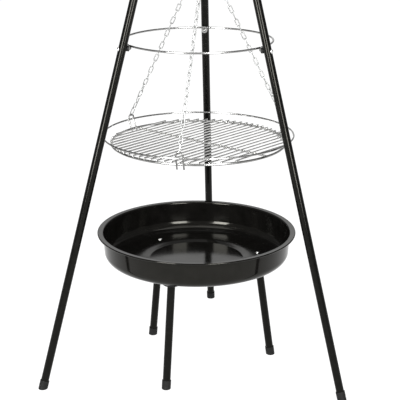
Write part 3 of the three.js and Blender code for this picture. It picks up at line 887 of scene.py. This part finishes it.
def make_hanger(number, azimuth, rings):
    """A wire loop outside the rim and inside the fence, with a pointed top for the chain.

    Rings holds the radius and height of the rim and of the fence. Returns the welds on them."""
    node = f"hanger_{number}"
    top, bottom = far_end(node, 1), far_end(node, -1)
    out, sideways = direction(azimuth), UP.cross(direction(azimuth))
    shoulder = (top - AXIS).dot(out)
    foot_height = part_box(node)[0].z + 0.3 * MM
    foot = (bottom - AXIS).dot(out)
    fence_height = rings[1][1]
    slope = (shoulder - foot) / (fence_height - foot_height)
    apex = top.z - HANGER_WIRE

    def side(sign):
        half = sideways * sign * HANGER_HALF_WIDTH
        return [polar(azimuth, foot, foot_height) + half,
                polar(azimuth, shoulder, fence_height) + half,
                polar(azimuth, shoulder, apex - 6 * MM) + half,
                polar(azimuth, shoulder, apex - 1.5 * MM) + half * 0.55]

    corners = side(-1) + [polar(azimuth, shoulder, apex)] + side(1)[::-1]
    piece(f"hanger_loop_{number}", swept(rounded(corners, 6 * MM), HANGER_WIRE, 14), DULL_SHADED_CHROME, "grate",
          [node])
    welds = []
    for sign in (-1, 1):
        for radius, height in rings:
            on_hanger = min(foot + slope * (height - foot_height), shoulder)
            at = polar(azimuth, (radius + on_hanger) / 2, height) + sideways * sign * HANGER_HALF_WIDTH
            welds.append(placed(blob((2.4 * MM, 2.9 * MM, 2.4 * MM)), aimed(at, UP, out)))
    return welds


def make_grate():
    rim = make_hoop("rim_hoop", "grate_rim", RIM_WIRE)
    fence = make_hoop("fence_hoop", "fence_ring", FENCE_WIRE)
    welds = make_bars(*rim)
    for number, azimuth in enumerate(THIRDS, 1):
        welds += make_hanger(number, GRATE_TURN + azimuth, (rim, fence))
    piece("grate_welds", joined(*welds), WELD, "grate")


# ---- Fire bowl on its own legs ----
def bowl_profile(low, high):
    """The pressed sheet: a sunk middle, a flat floor, a steep wall and a turned-out lip with a bead."""
    recess = mount("bowl_floor").z
    floor = recess + RECESS_DEPTH
    lip = (high.x - low.x) / 2
    top = high.z
    centre = (WALL_FOOT_RADIUS - BOWL_CORNER, floor - BOWL_SHEET + BOWL_CORNER)

    def draw(radius, drop):
        """Out of the recess: a crisp corner, then a slope that eases off into the floor."""
        rows = [(radius - 2 * MM, recess - drop), (radius - 0.6 * MM, recess - drop + 0.04 * MM)]
        for share in (0.02, 0.1, 0.2, 0.3, 0.4, 0.5, 0.6, 0.7, 0.8, 0.9, 1):
            rows.append((radius + RECESS_SLOPE * share, floor - drop - RECESS_DEPTH * (1 - share) ** 2))
        return rows

    land = top - 0.5 * MM
    turn_in = 2.5 * MM
    inner_flat, outer_flat = 60 * MM, 180 * MM
    lean = degrees(atan2(WALL_TOP_RADIUS - WALL_FOOT_RADIUS, top - centre[1]))
    under = [(0, recess - BOWL_SHEET), (inner_flat, recess - BOWL_SHEET)]
    under += draw(RECESS_RADIUS, BOWL_SHEET) + [(outer_flat, floor - BOWL_SHEET)]
    under += arc(centre, BOWL_CORNER, -90, -lean, 14)
    under += arc((WALL_TOP_RADIUS + turn_in, top - BOWL_SHEET - turn_in), turn_in, 180, 90, 5)
    bead = arc((lip - LIP_BEAD, top - LIP_BEAD), LIP_BEAD, -150, 90, 10)
    inside = [(lip - 2 * LIP_BEAD - 2 * MM, land)]
    bend = turn_in + BOWL_SHEET
    inside += arc((WALL_TOP_RADIUS + turn_in, land - turn_in - BOWL_SHEET), bend, 90, 180, 6)
    inside += arc(centre, BOWL_CORNER - BOWL_SHEET, -lean, -90, 14) + [(outer_flat, floor)]
    inside += draw(RECESS_RADIUS, 0)[::-1] + [(inner_flat, recess), (0, recess)]
    return under + bead + inside


def make_bowl():
    low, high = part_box("fire_bowl")
    centre = middle("fire_bowl")
    centre.z = 0
    shell = placed(turned(bowl_profile(low, high), 256), Matrix.Translation(centre))
    piece("bowl", shell, ENAMEL, "bowl_stand", ["fire_bowl"], sharp=60)
    for number, azimuth in enumerate(THIRDS, 1):
        make_bowl_leg(number, BOWL_TURN + azimuth)


def make_bowl_leg(number, azimuth):
    """A tube with a closed top, from the bowl's screw out to its foot, with its cap and socket."""
    foot = mount(f"bowl_foot_{number}")
    top = middle(f"bowl_screw_{number}")
    top.z = 0
    splay = asin((top - foot).length / BOWL_LEG_TOP)
    matrix = leg_frame(foot, top + UP * BOWL_LEG_TOP * cos(splay), azimuth)
    lid = BOWL_LEG_TOP - 3 * MM
    rows = tube_end(TUBE, TUBE_INSIDE, CAP_START, -1) + arc((TUBE - MM, BOWL_LEG_TOP - MM), MM, 0, 90, 4)
    rows += [(0, BOWL_LEG_TOP), (0, lid), (TUBE_INSIDE, lid)]
    piece(f"stand_tube_{number}", placed(turned(rows, 48, closed=True), matrix), PAINT, "bowl_stand",
          [f"bowl_leg_{number}"])
    piece(f"stand_foot_{number}", foot_cap(matrix), PLASTIC, "bowl_stand",
          [f"bowl_leg_cap_{number}"])
    make_stand_cup(number, top)
    make_stand_screw(number, top)


def make_stand_cup(number, centre):
    """The plastic socket on a bowl leg, with a groove near its top."""
    low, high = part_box(f"bowl_socket_{number}")
    depth = high.z - low.z
    edge = (high.x - low.x) / 2
    corner = 3 * MM
    groove = edge - 0.7 * MM
    rows = [(0, 2 * MM), (TUBE + 0.8 * MM, 2 * MM), (TUBE + 1.2 * MM, 0.5 * MM), (TUBE + 2 * MM, 0)]
    rows += arc((edge - corner, corner), corner, -90, 0, 6) + [(edge, depth - 5 * MM)]
    rows += [(groove, depth - 4.4 * MM), (groove, depth - 3.6 * MM), (edge, depth - 3 * MM)]
    rows += [(edge, depth - 0.6 * MM), (edge - 0.6 * MM, depth), (0, depth)]
    cup = placed(turned(rows, 72), Matrix.Translation(centre + UP * low.z))
    piece(f"stand_cup_{number}", cup, PLASTIC, "bowl_stand", [f"bowl_socket_{number}"])


def make_stand_screw(number, centre):
    seat = centre + UP * (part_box(f"bowl_screw_{number}")[1].z - 4 * MM)
    head = placed(pan_head(5.5 * MM, 3.6 * MM, cross(5.4 * MM, 1.2 * MM)), Matrix.Translation(seat))
    shank = swept([seat - UP * 12 * MM, seat + UP * MM], 1.7 * MM)
    piece(f"stand_screw_{number}", joined(head, shank), CHROME, "bowl_stand",
          [f"bowl_screw_{number}"])


make_legs()
make_spreader()
make_head()
make_eye_bolt()
make_hooks()
make_hoist()
make_grate_chains(*make_master_ring())
make_grate()
make_bowl()


# ---- Studio: a plain white floor, two tall softboxes, one above and a weak one behind ----
FLOOR_GLOW = 1
FLOOR_HALF_SIZE = 60
STUDIO_GREY = 0.25


def white_paper():
    """The same plain white everywhere."""
    paper = Surface("white_paper", 0, 0.9)
    paper.shader.inputs["Base Color"].default_value = (0.1, 0.1, 0.1, 1)
    paper.shader.inputs["Specular IOR Level"].default_value = 0
    paper.shader.inputs["Emission Color"].default_value = (1, 1, 1, 1)
    paper.shader.inputs["Emission Strength"].default_value = FLOOR_GLOW
    return paper.material


def make_floor():
    size = FLOOR_HALF_SIZE
    corners = [(-size, -size, 0), (size, -size, 0), (size, size, 0), (-size, size, 0)]
    mesh = bpy.data.meshes.new("floor")
    mesh.from_pydata(corners, [], [[0, 1, 2, 3]])
    mesh.materials.append(white_paper())
    floor = bpy.data.objects.new("floor", mesh)
    bpy.context.scene.collection.objects.link(floor)


def softbox(name, azimuth, distance, height, size, radiance, target_height):
    """A rectangular light, size being its width and height, aimed at the tripod's axis."""
    data = bpy.data.lights.new(name, "AREA")
    data.shape = "RECTANGLE"
    data.size, data.size_y = size
    data.energy = radiance * pi * size[0] * size[1]
    light = bpy.data.objects.new(name, data)
    bpy.context.scene.collection.objects.link(light)
    light.location = polar(azimuth, distance, height)
    towards = AXIS + UP * target_height - light.location
    light.rotation_euler = towards.to_track_quat("-Z", "Y").to_euler()


def make_lights():
    beside, above, behind = (1.1, 2.2), (2.2, 2.2), (2.4, 1.4)
    softbox("right_softbox", CAMERA_AZIMUTH + 23, 3.2, 1.75, beside, radiance=26, target_height=1.75)
    softbox("left_softbox", CAMERA_AZIMUTH - 33.5, 3.2, 1.75, beside, radiance=31, target_height=1.75)
    softbox("top_softbox", 90, 0.3, 3.6, above, radiance=3, target_height=0)
    softbox("back_softbox", 94, 4.2, 2, behind, radiance=0.9, target_height=0.4)


def make_studio():
    world = bpy.data.worlds.new("studio")
    world.use_nodes = True
    background = world.node_tree.nodes["Background"]
    background.inputs["Color"].default_value = (STUDIO_GREY, STUDIO_GREY, STUDIO_GREY, 1)
    bpy.context.scene.world = world
    make_lights()


make_floor()
make_studio()
bpy.context.scene.view_settings.view_transform = "Standard"
